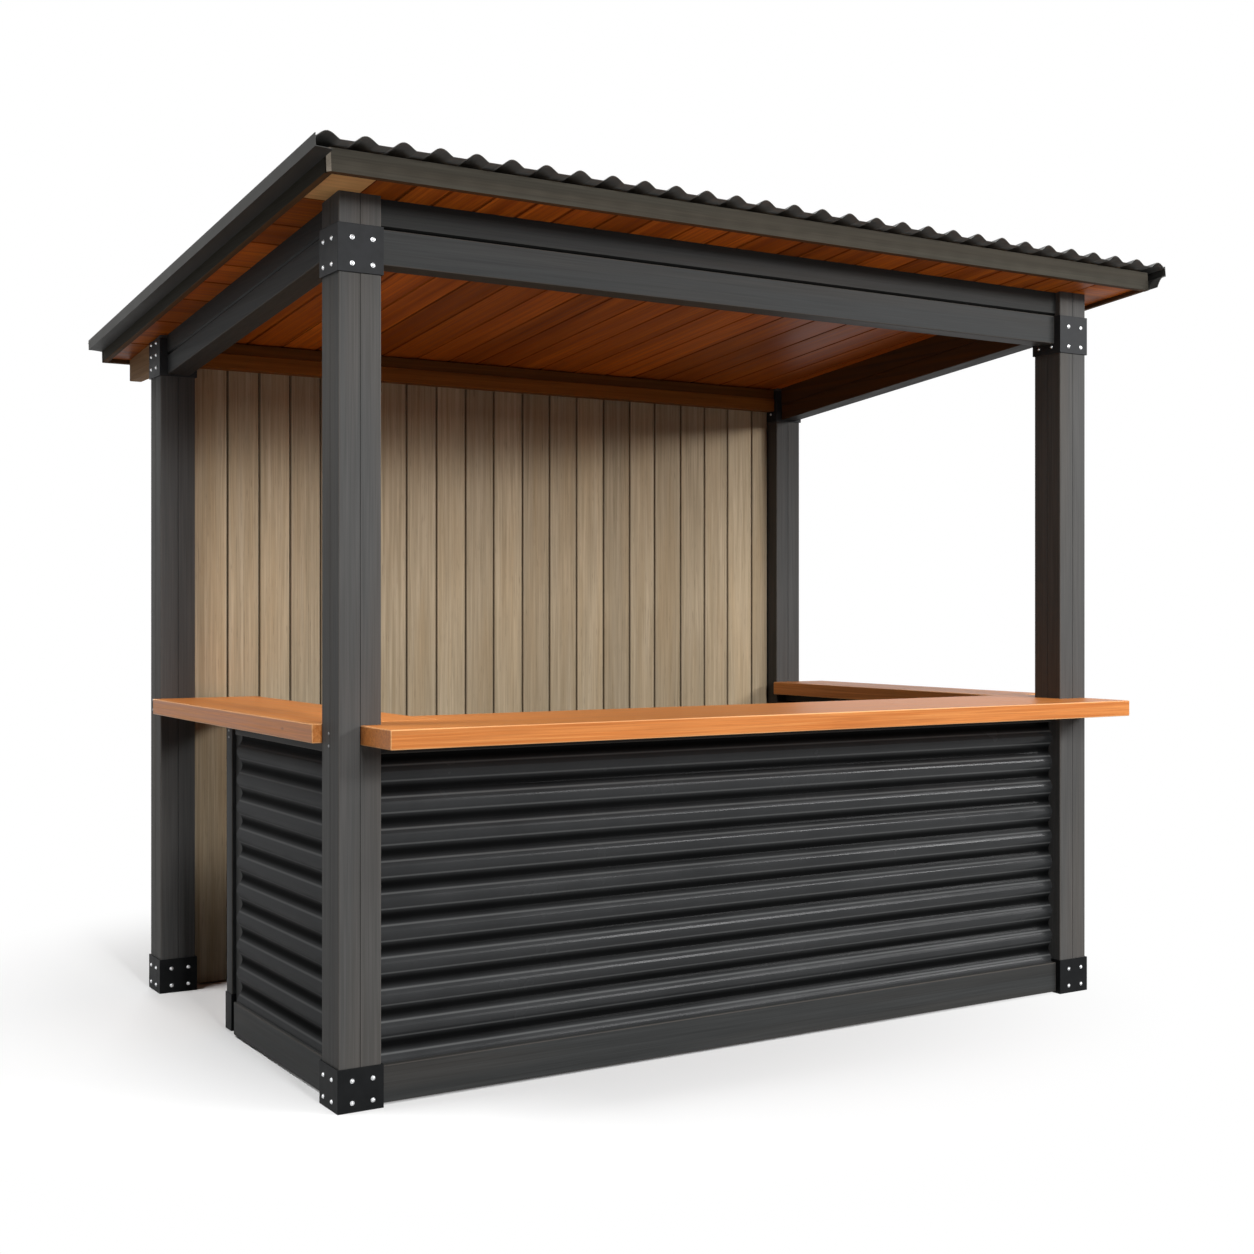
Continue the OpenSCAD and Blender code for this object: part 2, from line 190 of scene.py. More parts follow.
# Matt white background paper: no gloss, so only the shade of the bar shows on it.
paper = bpy.data.materials.new("matt_background_paper")
paper.use_nodes = True
tree = paper.node_tree
sheet = tree.nodes["Principled BSDF"]
bounced = add_node(tree, "ShaderNodeLightPath").outputs["Is Diffuse Ray"]
paper_tone = add_node(tree, "ShaderNodeMix", {"data_type": "RGBA"}, {
    SHARE: bounced, COLOUR_A: linear("#f6f6f6"), COLOUR_B: linear("#8c8c8c")})
tree.links.new(paper_tone.outputs[MIXED], sheet.inputs["Base Color"])
sheet.inputs["Roughness"].default_value = 0.95
sheet.inputs["Specular IOR Level"].default_value = 0.0
spot = add_node(tree, "ShaderNodeTexCoord").outputs["Object"]
reach = add_node(tree, "ShaderNodeVectorMath", {"operation": "DISTANCE"}, {0: spot, 1: FADE_CENTRE})
fade = add_node(tree, "ShaderNodeMapRange", {"interpolation_type": "SMOOTHSTEP"}, {
    "Value": reach.outputs["Value"], "From Min": FADE_FROM, "From Max": FADE_TO})
white = add_node(tree, "ShaderNodeMath", {"operation": "MULTIPLY"}, {
    0: fade.outputs[0], 1: sees_background(tree)})
glow = add_node(tree, "ShaderNodeEmission", {}, {"Color": WHITE, "Strength": 1.0})
mixed = add_node(tree, "ShaderNodeMixShader", {}, {
    0: white.outputs[0], 1: sheet.outputs[0], 2: glow.outputs[0]})
tree.links.new(mixed.outputs[0], tree.nodes["Material Output"].inputs["Surface"])
paper_mesh.materials.append(paper)
print("paper floor", PAPER_SIZE, "m wide")

# %% [markdown]
# ## How timber is drawn
# Each timber on the bar has its own grain, which runs along its length whichever way it lies. A picture of
# wood would repeat, so the grain is drawn with noise that is stretched along the timber. For that, every
# mesh carries three notes for the shader: where a point is along and across its own timber, how light that
# timber is, and whether a face is a worn edge (1) or the bottom of a joint (-1).
# One function then serves posts, beams and boards alike.

# %% Timber finish
# Real fibres and pores are about 0.1 mm wide. Drawn at these widths in millimetres, they show.
FIBRE_MM = 2.5
PORE_MM = 3.0
# Pin knots to the metre, along the grain and twice across it
KNOTS_PER_M = (3.0, 9.0, 9.0)
# What is left of a colour at the bottom of a joint
JOINT_TONE = 0.12


def timber(name, dark, light, hint, streak_mm, length_mm, roughness, relief_mm, gloss,
           hint_share=0.35, tone_spread=0.2, worn=None, fleck=0.0, knots=0.0, stave_mm=0.0):
    """A timber with streaks of the given width and length, patches of a hint colour, and worn edges."""
    finish = bpy.data.materials.new(name)
    finish.use_nodes = True
    tree = finish.node_tree
    shader = tree.nodes["Principled BSDF"]
    shader.inputs["Specular IOR Level"].default_value = gloss
    grain = add_node(tree, "ShaderNodeAttribute", {"attribute_name": "grain"}).outputs["Vector"]
    tone = add_node(tree, "ShaderNodeAttribute", {"attribute_name": "tone"}).outputs["Fac"]
    edge = add_node(tree, "ShaderNodeAttribute", {"attribute_name": "edge"}).outputs["Fac"]

    def stretched(width_mm, long_mm, detail, warp):
        """Noise that is drawn out along the grain."""
        at = add_node(tree, "ShaderNodeMapping", {}, {
            "Vector": grain, "Scale": (1000 / long_mm, 1000 / width_mm, 1000 / width_mm)})
        return add_node(tree, "ShaderNodeTexNoise", {}, {
            "Vector": at.outputs[0], "Scale": 1.0, "Detail": detail, "Distortion": warp}).outputs[0]

    streaks = stretched(streak_mm, length_mm, 4.0, 0.5)
    bands = stretched(streak_mm * 5, length_mm * 1.6, 2.0, 0.3)
    fibres = stretched(max(streak_mm / 4, FIBRE_MM), length_mm / 3, 2.0, 0.0)

    streak_mix = add_node(tree, "ShaderNodeMapRange", {}, {
        "Value": streaks, "From Min": 0.32, "From Max": 0.68}).outputs[0]
    colour = add_node(tree, "ShaderNodeMix", {"data_type": "RGBA"}, {
        SHARE: streak_mix, COLOUR_A: linear(dark), COLOUR_B: linear(light)}).outputs[MIXED]
    band_mix = add_node(tree, "ShaderNodeMapRange", {}, {
        "Value": bands, "From Min": 0.45, "From Max": 0.72, "To Max": hint_share})
    colour = add_node(tree, "ShaderNodeMix", {"data_type": "RGBA"}, {
        SHARE: band_mix.outputs[0], COLOUR_A: colour, COLOUR_B: linear(hint)}).outputs[MIXED]

    fibre_tone = add_node(tree, "ShaderNodeMapRange", {}, {
        "Value": fibres, "From Min": 0.3, "From Max": 0.7, "To Min": 0.88, "To Max": 1.12})
    timber_tone = add_node(tree, "ShaderNodeMapRange", {}, {
        "Value": tone, "To Min": 1.0 - tone_spread, "To Max": 1.0 + tone_spread})
    tones = [fibre_tone, timber_tone]
    if fleck:
        pores = stretched(max(streak_mm / 4, PORE_MM), length_mm / 9, 1.0, 0.0)
        tones.append(add_node(tree, "ShaderNodeMapRange", {}, {
            "Value": pores, "From Min": 0.66, "From Max": 0.74, "To Min": 1.0, "To Max": 1.0 - fleck}))
    if knots:
        at = add_node(tree, "ShaderNodeMapping", {}, {"Vector": grain, "Scale": KNOTS_PER_M})
        spots = add_node(tree, "ShaderNodeTexVoronoi", {}, {"Vector": at.outputs[0], "Scale": 1.0})
        tones.append(add_node(tree, "ShaderNodeMapRange", {"interpolation_type": "SMOOTHSTEP"}, {
            "Value": spots.outputs["Distance"], "From Min": 0.02, "From Max": 0.07,
            "To Min": 1.0 - knots, "To Max": 1.0}))
    if stave_mm:
        across = add_node(tree, "ShaderNodeSeparateXYZ", {}, {0: grain}).outputs["Y"]
        stave = add_node(tree, "ShaderNodeMath", {"operation": "SNAP"}, {0: across, 1: stave_mm * MM})
        dealt = add_node(tree, "ShaderNodeTexWhiteNoise", {"noise_dimensions": "1D"}, {"W": stave.outputs[0]})
        tones.append(add_node(tree, "ShaderNodeMapRange", {}, {
            "Value": dealt.outputs["Value"], "To Min": 0.88, "To Max": 1.08}))
    tones.append(add_node(tree, "ShaderNodeMapRange", {}, {
        "Value": edge, "From Min": -1.0, "From Max": 0.0, "To Min": JOINT_TONE}))
    shade = tones[0].outputs[0]
    for part in tones[1:]:
        shade = add_node(tree, "ShaderNodeMath", {"operation": "MULTIPLY"}, {
            0: shade, 1: part.outputs[0]}).outputs[0]
    colour = add_node(tree, "ShaderNodeMix", {"data_type": "RGBA", "blend_type": "MULTIPLY"}, {
        SHARE: 1.0, COLOUR_A: colour, COLOUR_B: shade}).outputs[MIXED]
    if worn:
        patchy = add_node(tree, "ShaderNodeMapRange", {}, {
            "Value": streak_mix, "To Min": 0.35, "To Max": 0.8})
        rub = add_node(tree, "ShaderNodeMath", {"operation": "MULTIPLY", "use_clamp": True}, {
            0: edge, 1: patchy.outputs[0]})
        colour = add_node(tree, "ShaderNodeMix", {"data_type": "RGBA"}, {
            SHARE: rub.outputs[0], COLOUR_A: colour, COLOUR_B: linear(worn)}).outputs[MIXED]
    tree.links.new(colour, shader.inputs["Base Color"])

    rough = add_node(tree, "ShaderNodeMapRange", {}, {
        "Value": streaks, "From Min": 0.3, "From Max": 0.7,
        "To Min": roughness - 0.07, "To Max": roughness + 0.07})
    tree.links.new(rough.outputs[0], shader.inputs["Roughness"])
    raised = add_node(tree, "ShaderNodeBump", {}, {
        "Height": fibres, "Strength": 0.5, "Distance": relief_mm * MM})
    tree.links.new(raised.outputs[0], shader.inputs["Normal"])
    print("timber finish", name)
    return finish


# %% [markdown]
# The frame is softwood under a charcoal stain, the counters are oiled larch, the lining is cedar, and the
# wall is greyed larch. Each finish has two tones for its streaks and a third for broad patches. Where the
# photograph shows one timber darker than another of its kind, it gets a darker finish of its own: painted
# shade.

# %% Mix the timber finishes
# Softwood under a thin charcoal stain: grey, with the brown of the wood showing in long streaks.
charcoal_pine = timber(
    "charcoal_stained_pine", "#4a4a49", "#525150", "#544e48",
    streak_mm=22, length_mm=900, roughness=0.6, relief_mm=0.25, gloss=0.08,
    hint_share=0.4, tone_spread=0.06, worn="#605b56")
# The same stain on planed beams, a little cooler and smoother.
charcoal_beam = timber(
    "charcoal_stained_beam", "#323333", "#3b3c3c", "#3c3732",
    streak_mm=15, length_mm=900, roughness=0.55, relief_mm=0.3, gloss=0.08,
    tone_spread=0.06, worn="#4e4944")
# The top plates and the right beam: charcoal outside, painted darker than the beams as painted shade under
# the roof's edge, and left brown on the side that faces in.
half_stained_shaded_beam = timber(
    "beam_stained_outside_only_shaded", "#2a2a2a", "#323332", "#322d28",
    streak_mm=15, length_mm=900, roughness=0.55, relief_mm=0.3, gloss=0.08,
    tone_spread=0.06, worn="#5a3a1c")
# Warm grey stain on the roof's edge boards, which lets the brown through on their lower and inner sides.
edge_pine = timber(
    "warm_grey_stained_edge_board", "#3a3731", "#423f38", "#443c33",
    streak_mm=16, length_mm=800, roughness=0.6, relief_mm=0.3, gloss=0.02,
    hint_share=0.4, tone_spread=0.05, worn="#6b4a2d")
# The flat on the corner of the front edge board, a pale and matt grey: a painted highlight on the face that
# turns to the light.
pale_corner_painted_highlight = timber(
    "pale_corner_flat_painted_highlight", "#867d70", "#978d80", "#8c7f70",
    streak_mm=12, length_mm=400, roughness=0.65, relief_mm=0.2, gloss=0.08, tone_spread=0.05)
# Larch under hard oil: orange, with darker late wood in fine lines and a satin sheen.
larch = {
    "dark": "#ba6a2a", "light": "#d68a46", "hint": "#ca7734", "worn": "#f3b97f", "streak_mm": 9,
    "length_mm": 600, "roughness": 0.42, "relief_mm": 0.25, "gloss": 0.3, "hint_share": 0.5,
    "tone_spread": 0.06, "fleck": 0.12}
oiled_larch = timber("oiled_larch_counter", **larch, stave_mm=85)
# The same oiled larch with small pin knots, as on the left counter.
knotty_larch = timber("oiled_larch_with_pin_knots", **larch, knots=0.55, stave_mm=95)
# Cedar lining under a reddish brown satin stain, with boards of clearly different tone.
stained_cedar = timber(
    "satin_stained_cedar_lining", "#9c4b10", "#c46c22", "#803c0c",
    streak_mm=14, length_mm=900, roughness=0.45, relief_mm=0.2, gloss=0.08,
    hint_share=0.7, tone_spread=0.3, fleck=0.25)
# The same cedar painted a darker brown as painted shade, on the wall rail and the batten over it, at the top
# of the wall.
cedar_with_painted_shade = timber(
    "cedar_with_painted_shade", "#744518", "#8f5822", "#633b13",
    streak_mm=14, length_mm=900, roughness=0.5, relief_mm=0.2, gloss=0.08,
    hint_share=0.6, tone_spread=0.05, fleck=0.25)
# Clear pine under oil: pale yellow, with little grain.
pale_pine = timber(
    "clear_oiled_pine", "#d29c5e", "#e2ae72", "#d6a066",
    streak_mm=12, length_mm=600, roughness=0.5, relief_mm=0.2, gloss=0.3, tone_spread=0.1)
# Larch wall boards greyed to taupe: matt, with long pale streaks and short dark pores.
greyed_larch = timber(
    "greyed_larch_boards", "#9c8b71", "#b4a38a", "#a68f6f",
    streak_mm=13, length_mm=620, roughness=0.75, relief_mm=0.35, gloss=0.1,
    hint_share=0.5, tone_spread=0.13, worn="#c2b299", fleck=0.25)
# Sawn pine left raw: dull and rough, where little of it is seen.
raw_pine = timber(
    "sawn_raw_pine", "#8f6c49", "#a98560", "#9a7550",
    streak_mm=14, length_mm=500, roughness=0.75, relief_mm=0.5, gloss=0.2, tone_spread=0.1)

# %% [markdown]
# ## How metal is drawn
# The collars and feet are bent steel under black powder coat, the sheets are coil-coated steel, and the
# bolts are zinc plated. A coat is paint, so it isn't metallic; only the zinc is. What tells them apart is
# the gloss: powder coat has a fine orange-peel, coil coat is smoother and catches long soft highlights.
# In the photograph the waves of the cladding mirror a studio that isn't known: dark in the troughs, with a
# light line on each shoulder. A copy of that studio would be a guess, so a note on the mesh says how far out
# a point of a wave lies, and the finish paints both from it: painted shade in the trough, and a painted
# reflection as a light line on the shoulder.

# %% Metal finish
# On a wave, from 0 in the trough to 1 on the crest: where the painted highlight line lies and how far it
# fades
HIGHLIGHT_LINE_AT = 0.55
HIGHLIGHT_LINE_W = 0.14
# What is left of a colour in the trough under the painted shade
TROUGH_SHADE_TONE = 0.12


def coated_metal(name, colour, lighter, mottle_mm, roughness, peel_mm=9, peel_relief_mm=0.05,
                 gloss=0.5, metallic=0.0, highlight_line_colour=None):
    """Sheet or plate with mottling of one size and a fine relief of another; given a line colour, painted
    shade in each trough and a painted highlight line on each wave.
    """
    finish = bpy.data.materials.new(name)
    finish.use_nodes = True
    tree = finish.node_tree
    shader = tree.nodes["Principled BSDF"]
    shader.inputs["Metallic"].default_value = metallic
    shader.inputs["Specular IOR Level"].default_value = gloss
    place = add_node(tree, "ShaderNodeTexCoord").outputs["Object"]
    mottle = add_node(tree, "ShaderNodeTexNoise", {}, {
        "Vector": place, "Scale": 1000 / mottle_mm, "Detail": 4.0, "Roughness": 0.6}).outputs[0]
    blend = add_node(tree, "ShaderNodeMapRange", {}, {
        "Value": mottle, "From Min": 0.3, "From Max": 0.7})
    shade = add_node(tree, "ShaderNodeMix", {"data_type": "RGBA"}, {
        SHARE: blend.outputs[0], COLOUR_A: linear(colour), COLOUR_B: linear(lighter)})
    if highlight_line_colour:
        # Painted shade darkens each trough and cuts its sheen, and a painted highlight lies as a light line
        # on the shoulder.
        crest = add_node(tree, "ShaderNodeAttribute", {"attribute_name": "crest"}).outputs["Fac"]
        clean = add_node(tree, "ShaderNodeMapRange", {"interpolation_type": "SMOOTHSTEP"}, {
            "Value": crest, "From Min": 0.05, "From Max": 0.6, "To Min": TROUGH_SHADE_TONE})
        shade = add_node(tree, "ShaderNodeMix", {"data_type": "RGBA", "blend_type": "MULTIPLY"}, {
            SHARE: 1.0, COLOUR_A: shade.outputs[MIXED], COLOUR_B: clean.outputs[0]})
        off_line = add_node(tree, "ShaderNodeMath", {"operation": "SUBTRACT"}, {0: crest, 1: HIGHLIGHT_LINE_AT})
        distance = add_node(tree, "ShaderNodeMath", {"operation": "ABSOLUTE"}, {0: off_line.outputs[0]})
        painted_highlight_line = add_node(tree, "ShaderNodeMapRange", {"interpolation_type": "SMOOTHSTEP"}, {
            "Value": distance.outputs[0], "From Max": HIGHLIGHT_LINE_W, "To Min": 0.75, "To Max": 0.0})
        shade = add_node(tree, "ShaderNodeMix", {"data_type": "RGBA"}, {
            SHARE: painted_highlight_line.outputs[0], COLOUR_A: shade.outputs[MIXED], COLOUR_B: linear(highlight_line_colour)})
        sheen = add_node(tree, "ShaderNodeMath", {"operation": "MULTIPLY"}, {0: clean.outputs[0], 1: gloss})
        tree.links.new(sheen.outputs[0], shader.inputs["Specular IOR Level"])
    tree.links.new(shade.outputs[MIXED], shader.inputs["Base Color"])
    peel = add_node(tree, "ShaderNodeTexNoise", {}, {
        "Vector": place, "Scale": 1000 / peel_mm, "Detail": 2.0}).outputs[0]
    rough = add_node(tree, "ShaderNodeMapRange", {}, {
        "Value": mottle, "From Min": 0.3, "From Max": 0.7,
        "To Min": roughness - 0.05, "To Max": roughness + 0.05})
    tree.links.new(rough.outputs[0], shader.inputs["Roughness"])
    raised = add_node(tree, "ShaderNodeBump", {}, {
        "Height": peel, "Strength": 0.4, "Distance": peel_relief_mm * MM})
    tree.links.new(raised.outputs[0], shader.inputs["Normal"])
    print("metal finish", name)
    return finish


# %% [markdown]
# The feet and the left cladding look darker or duller in the photograph than the same steel elsewhere, so
# they have finishes of their own: darker or duller copies, which are painted shade.

# %% Mix the metal finishes
# Black powder coat on bent plate: deep black with a low, broken sheen.
powder_black = coated_metal(
    "black_powder_coat", "#262728", "#2f3032",
    mottle_mm=40, peel_mm=4, roughness=0.5, peel_relief_mm=0.15, gloss=0.1)
# The same coat on the feet, painted blacker and with less sheen: painted shade.
powder_black_shaded_copy = coated_metal(
    "black_powder_coat_shaded_copy", "#141516", "#1a1b1c",
    mottle_mm=40, peel_mm=4, roughness=0.5, peel_relief_mm=0.15, gloss=0.06)
# Coil-coated corrugated sheet: near black and smooth, with painted shade in each trough and a painted
# highlight line along each wave.
coil_black = coated_metal(
    "dark_coil_coated_sheet", "#2c2d2e", "#343536",
    mottle_mm=260, roughness=0.24, gloss=0.12, highlight_line_colour="#606161")
# The same sheet on the left side, duller: painted shade, with less sheen and a dimmer painted highlight line.
coil_black_shaded_copy = coated_metal(
    "dull_black_coil_sheet_shaded_copy", "#303132", "#393a3b",
    mottle_mm=260, roughness=0.4, gloss=0.02, highlight_line_colour="#585959")
# A light grey on the underside of the roof sheet, partly its backing coat and partly painted light for the
# ribs' undersides: flat, with hardly any sheen.
backing_grey_painted_light = coated_metal(
    "grey_backing_coat_painted_light", "#757573", "#80807e",
    mottle_mm=200, roughness=0.6, gloss=0.05)
# The roof sheet's coat: a charcoal grey with a soft sheen.
coil_charcoal = coated_metal(
    "charcoal_coil_coated_sheet", "#3c3d3c", "#464746",
    mottle_mm=260, roughness=0.4, gloss=0.15)
# Folded edge trim of the same steel: a warmer grey and slightly mottled.
coil_grey = coated_metal(
    "grey_coil_coated_trim", "#3a3a38", "#434240",
    mottle_mm=60, peel_mm=7, roughness=0.5, peel_relief_mm=0.1, gloss=0.1)
# Bright zinc plating on the bolt heads, with a faint grey bloom.
bright_zinc = coated_metal(
    "bright_zinc_plate", "#c9cbcd", "#e4e5e6",
    mottle_mm=6, peel_mm=3, roughness=0.3, metallic=1.0)
# Dull zinc plating on the small screws: grey and without shine.
dull_zinc = coated_metal(
    "dull_zinc_plate", "#6a6b6c", "#8a8b8c",
    mottle_mm=6, peel_mm=3, roughness=0.5, metallic=1.0)

# %% [markdown]
# ## Helpers for the timber pieces
# A solid from the CAD model has knife edges. A sawn and planed timber never has: its edges are eased with
# a plane, and catch a thin line of light. So each timber here is a copy of its solid with eased edges.
# A bevel modifier could do it, but it would also cut the seams between the small faces of a solid, so the
# copy is first cleaned: a flat side becomes one face, and the easing runs true.

# %% Copy and ease a solid
# Points closer than this are one, in metres; faces that turn less than this are one flat side; and outer
# edges that turn more than this are eased.
SAME_POINT = 1e-6
FLAT_BELOW = math.radians(0.5)
SHARP_ABOVE = math.radians(50)


def noted(mesh):
    """Adds the three notes that the timber finishes read."""
    mesh.verts.layers.float_vector.new("grain")
    mesh.faces.layers.float.new("tone")
    mesh.faces.layers.float.new("edge")
    return mesh


def solid_copy(node):
    """A mesh with the clean flat faces of a CAD node."""
    mesh = bmesh.new()
    mesh.from_mesh(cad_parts[node].data)
    bmesh.ops.remove_doubles(mesh, verts=mesh.verts, dist=SAME_POINT)
    bmesh.ops.dissolve_limit(mesh, angle_limit=FLAT_BELOW, verts=mesh.verts, edges=mesh.edges)
    bmesh.ops.recalc_face_normals(mesh, faces=mesh.faces)
    return noted(mesh)


def cut_edges(mesh, chosen, size_mm, steps, note):
    """Planes the chosen edges to a flat or a round, and notes the new faces."""
    made = bmesh.ops.bevel(mesh, geom=chosen, offset=size_mm * MM, offset_type="OFFSET",
                           segments=steps, profile=0.5, affect="EDGES", clamp_overlap=True)
    edge = mesh.faces.layers.float["edge"]
    for face in made["faces"]:
        face[edge] = note
    return made["faces"]


def ease_edges(mesh, radius_mm, steps=2, note=1.0):
    """Rounds the outer edges and notes them as worn."""
    sharp = [e for e in mesh.edges if e.is_manifold and e.calc_face_angle_signed(0.0) > SHARP_ABOVE]
    cut_edges(mesh, sharp, radius_mm, steps, note)


sample = solid_copy("front_beam")
print("the clean front beam has", len(sample.faces), "faces")
sample.free()

# %% [markdown]
# The grain is laid once the edges are eased. Loose timbers of one piece are found by walking from face to
# face, and each gets a tone of its own and a stretch of grain from somewhere else in the noise.

# %% Lay the grain and place a piece
# How far apart two timbers may lie in the noise, in metres, and the turn up to which a curve looks smooth
GRAIN_REACH = 40
SMOOTH_BELOW = math.radians(35)


def grain_shift():
    """A place in the noise for one timber."""
    return Vector([dice.uniform(0, GRAIN_REACH) for _ in range(3)])


def lay_grain(mesh, along):
    """Notes each point's place in its timber, with the grain along an axis, and each timber's tone."""
    grain = mesh.verts.layers.float_vector["grain"]
    tone = mesh.faces.layers.float["tone"]
    order = {"x": (0, 1, 2), "y": (1, 0, 2), "z": (2, 0, 1)}[along]
    seen = set()
    mesh.faces.index_update()
    for first in mesh.faces:
        if first.index in seen:
            continue
        shift = grain_shift()
        shade = dice.random()
        waiting = [first]
        seen.add(first.index)
        while waiting:
            face = waiting.pop()
            face[tone] = shade
            for vert in face.verts:
                vert[grain] = Vector([vert.co[i] for i in order]) + shift
                for other in vert.link_faces:
                    if other.index not in seen:
                        seen.add(other.index)
                        waiting.append(other)


def put(mesh, name, finish, nodes=(), smooth=False):
    """Makes the mesh a piece of the bar, with its finish, in place of some CAD nodes."""
    bmesh.ops.recalc_face_normals(mesh, faces=mesh.faces)
    data = bpy.data.meshes.new(name)
    mesh.to_mesh(data)
    mesh.free()
    data.materials.append(finish)
    if smooth:
        data.shade_smooth()
        data.set_sharp_from_angle(angle=SMOOTH_BELOW)
    piece = bpy.data.objects.new(name, data)
    scene.collection.objects.link(piece)
    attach(piece, "root")
    if nodes:
        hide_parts(*nodes)
    print("piece", name, len(data.polygons), "faces")
    return piece


def eased_timber(node, finish, along, radius_mm=3.0):
    """A CAD timber with eased edges and its grain along an axis."""
    mesh = solid_copy(node)
    ease_edges(mesh, radius_mm)
    lay_grain(mesh, along)
    return put(mesh, node + "_timber", finish, [node])


# %% [markdown]
# ## Posts
# Each post is glued up from four long squares, so a fine seam runs down the middle of every face and the
# two halves of a face differ a little in tone. A line in the finish would look flat from near by, so the
# seam is a real groove: the post's outline, with a notch in each side and round corners, is pushed up to the
# sloping lining of the roof.

# %% Build the posts
FRONT_POSTS = ("front_left_post", "front_right_post")
BACK_POSTS = ("back_left_post", "back_right_post")
# The slope of the roof, as in the CAD model
ROOF_PITCH = math.radians(5.25)
SEAM_W = 2.0 * MM
SEAM_D = 2.0 * MM
POST_ROUND = 4.0 * MM
# A side of the outline has six faces: the notch's two are darkened, for dirt and painted shade in the seam,
# and the corner's two are worn.
SIDE_FACES = 6
SIDE_NOTES = {1: -0.5, 2: -0.5, 4: 0.6, 5: 0.6}


def join_rings(mesh, rings):
    """Faces between rings of points, from ring to ring, and then one over each end."""
    count = len(rings[0])
    faces = []
    for below, above in zip(rings, rings[1:]):
        for i in range(count):
            j = (i + 1) % count
            faces.append(mesh.faces.new((below[i], below[j], above[j], above[i])))
    return faces + [mesh.faces.new(rings[0]), mesh.faces.new(rings[-1])]


def post_outline(half):
    """One side's points of a square post, then a corner, turned round four times."""
    cut = POST_ROUND * math.cos(math.radians(45))
    side = [(-half + POST_ROUND, -half), (-SEAM_W / 2, -half), (0.0, -half + SEAM_D), (SEAM_W / 2, -half),
            (half - POST_ROUND, -half), (half - POST_ROUND + cut, -half + POST_ROUND - cut)]
    points = []
    for c, s in ((1, 0), (0, 1), (-1, 0), (0, -1)):
        points += [(x * c - y * s, x * s + y * c) for x, y in side]
    return points


def build_post(node):
    """A post of four glued squares, from the ground up to the slope."""
    low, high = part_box(node)
    centre = (low + high) / 2
    half = (high.x - low.x) / 2
    mesh = noted(bmesh.new())
    grain = mesh.verts.layers.float_vector["grain"]
    tone = mesh.faces.layers.float["tone"]
    edge = mesh.faces.layers.float["edge"]
    outline = post_outline(half)
    quarter_tones = [dice.random() for _ in range(4)]
    shift = grain_shift()
    rings = []
    for end in (0, 1):
        ring = []
        for x, y in outline:
            top = high.z - math.tan(ROOF_PITCH) * (y + half)
            vert = mesh.verts.new((centre.x + x, centre.y + y, top if end else low.z))
            vert[grain] = Vector((vert.co.z, x, y)) + shift
            ring.append(vert)
        rings.append(ring)
    faces = join_rings(mesh, rings)
    for i, (start, end) in enumerate(zip(outline, outline[1:] + outline[:1])):
        x = (start[0] + end[0]) / 2
        y = (start[1] + end[1]) / 2
        faces[i][tone] = quarter_tones[(x > 0) + 2 * (y > 0)]
        faces[i][edge] = SIDE_NOTES.get(i % SIDE_FACES, 0.0)
    put(mesh, node + "_timber", charcoal_pine, [node])


for node in FRONT_POSTS + BACK_POSTS:
    build_post(node)

# %% [markdown]
# ## Beams and top plates
# A top plate lies on each beam. Its outer lower edge is planed off and painted dark, as a dark joint and
# painted shade, so the two timbers meet in a dark groove with the beam's own edge as a thin light line under
# it. One bevel on the copy of the plate makes it.
# The inner sides of the plates and of the right beam are brown, which is a note on their faces.

# %% Build the beams and top plates
# Width of the planed edge in millimetres, painted dark as a joint and painted shade, and the note of a side
# without stain
GROOVE = 9.0
BARE = 1.25
FRONT, BACK = Vector((0, -1, 0)), Vector((0, 1, 0))
LEFT, RIGHT = Vector((-1, 0, 0)), Vector((1, 0, 0))


def note_bare(mesh, outward):
    """Notes the faces that look away from the outside."""
    edge = mesh.faces.layers.float["edge"]
    for face in mesh.faces:
        if face.normal.dot(outward) < -0.9:
            face[edge] = BARE


def grooved_plate(node, along, outward):
    """A top plate with its outer lower edge planed off and painted dark as painted shade, and its inner side
    noted as bare.
    """
    mesh = solid_copy(node)
    lower = [e for e in mesh.edges if e.calc_length() > 0.5
             and min(f.normal.z for f in e.link_faces) < -0.7
             and max(f.normal.dot(outward) for f in e.link_faces) > 0.9]
    cut_edges(mesh, lower, GROOVE, 1, -1.0)
    note_bare(mesh, outward)
    lay_grain(mesh, along)
    put(mesh, node + "_timber", half_stained_shaded_beam, [node])


for node, along in (("front_beam", "x"), ("left_beam", "y"), ("back_beam", "x"), ("back_rails", "x")):
    eased_timber(node, charcoal_beam, along)
mesh = solid_copy("right_beam")
ease_edges(mesh, 3.0, note=0.3)
note_bare(mesh, RIGHT)
lay_grain(mesh, "y")
put(mesh, "right_beam_timber", half_stained_shaded_beam, ["right_beam"])
for node, along, outward in (
        ("front_top_plate", "x", FRONT), ("left_top_plate", "y", LEFT), ("right_top_plate", "y", RIGHT)):
    grooved_plate(node, along, outward)

# %% [markdown]
# ## Rails, plinths, studs and purlins
# These are plain planed timbers, so copies with eased edges are enough. Only the direction of the grain
# changes: along X at the front and back, along Y at the sides, and upright in the jamb and the studs.

# %% Ease the rails, plinths, studs and purlins
for node in ("front_plinth", "front_rail"):
    eased_timber(node, charcoal_beam, "x")
for node in ("left_plinth", "right_plinth", "left_rail", "right_rail"):
    eased_timber(node, charcoal_beam, "y")
for node in ("left_jamb", "left_stud"):
    eased_timber(node, charcoal_beam, "z")
for node in ("front_studs", "right_studs"):
    eased_timber(node, raw_pine, "z")
eased_timber("purlins", raw_pine, "x")
eased_timber("rafter_tails", raw_pine, "y")
eased_timber("wall_rail", cedar_with_painted_shade, "x")

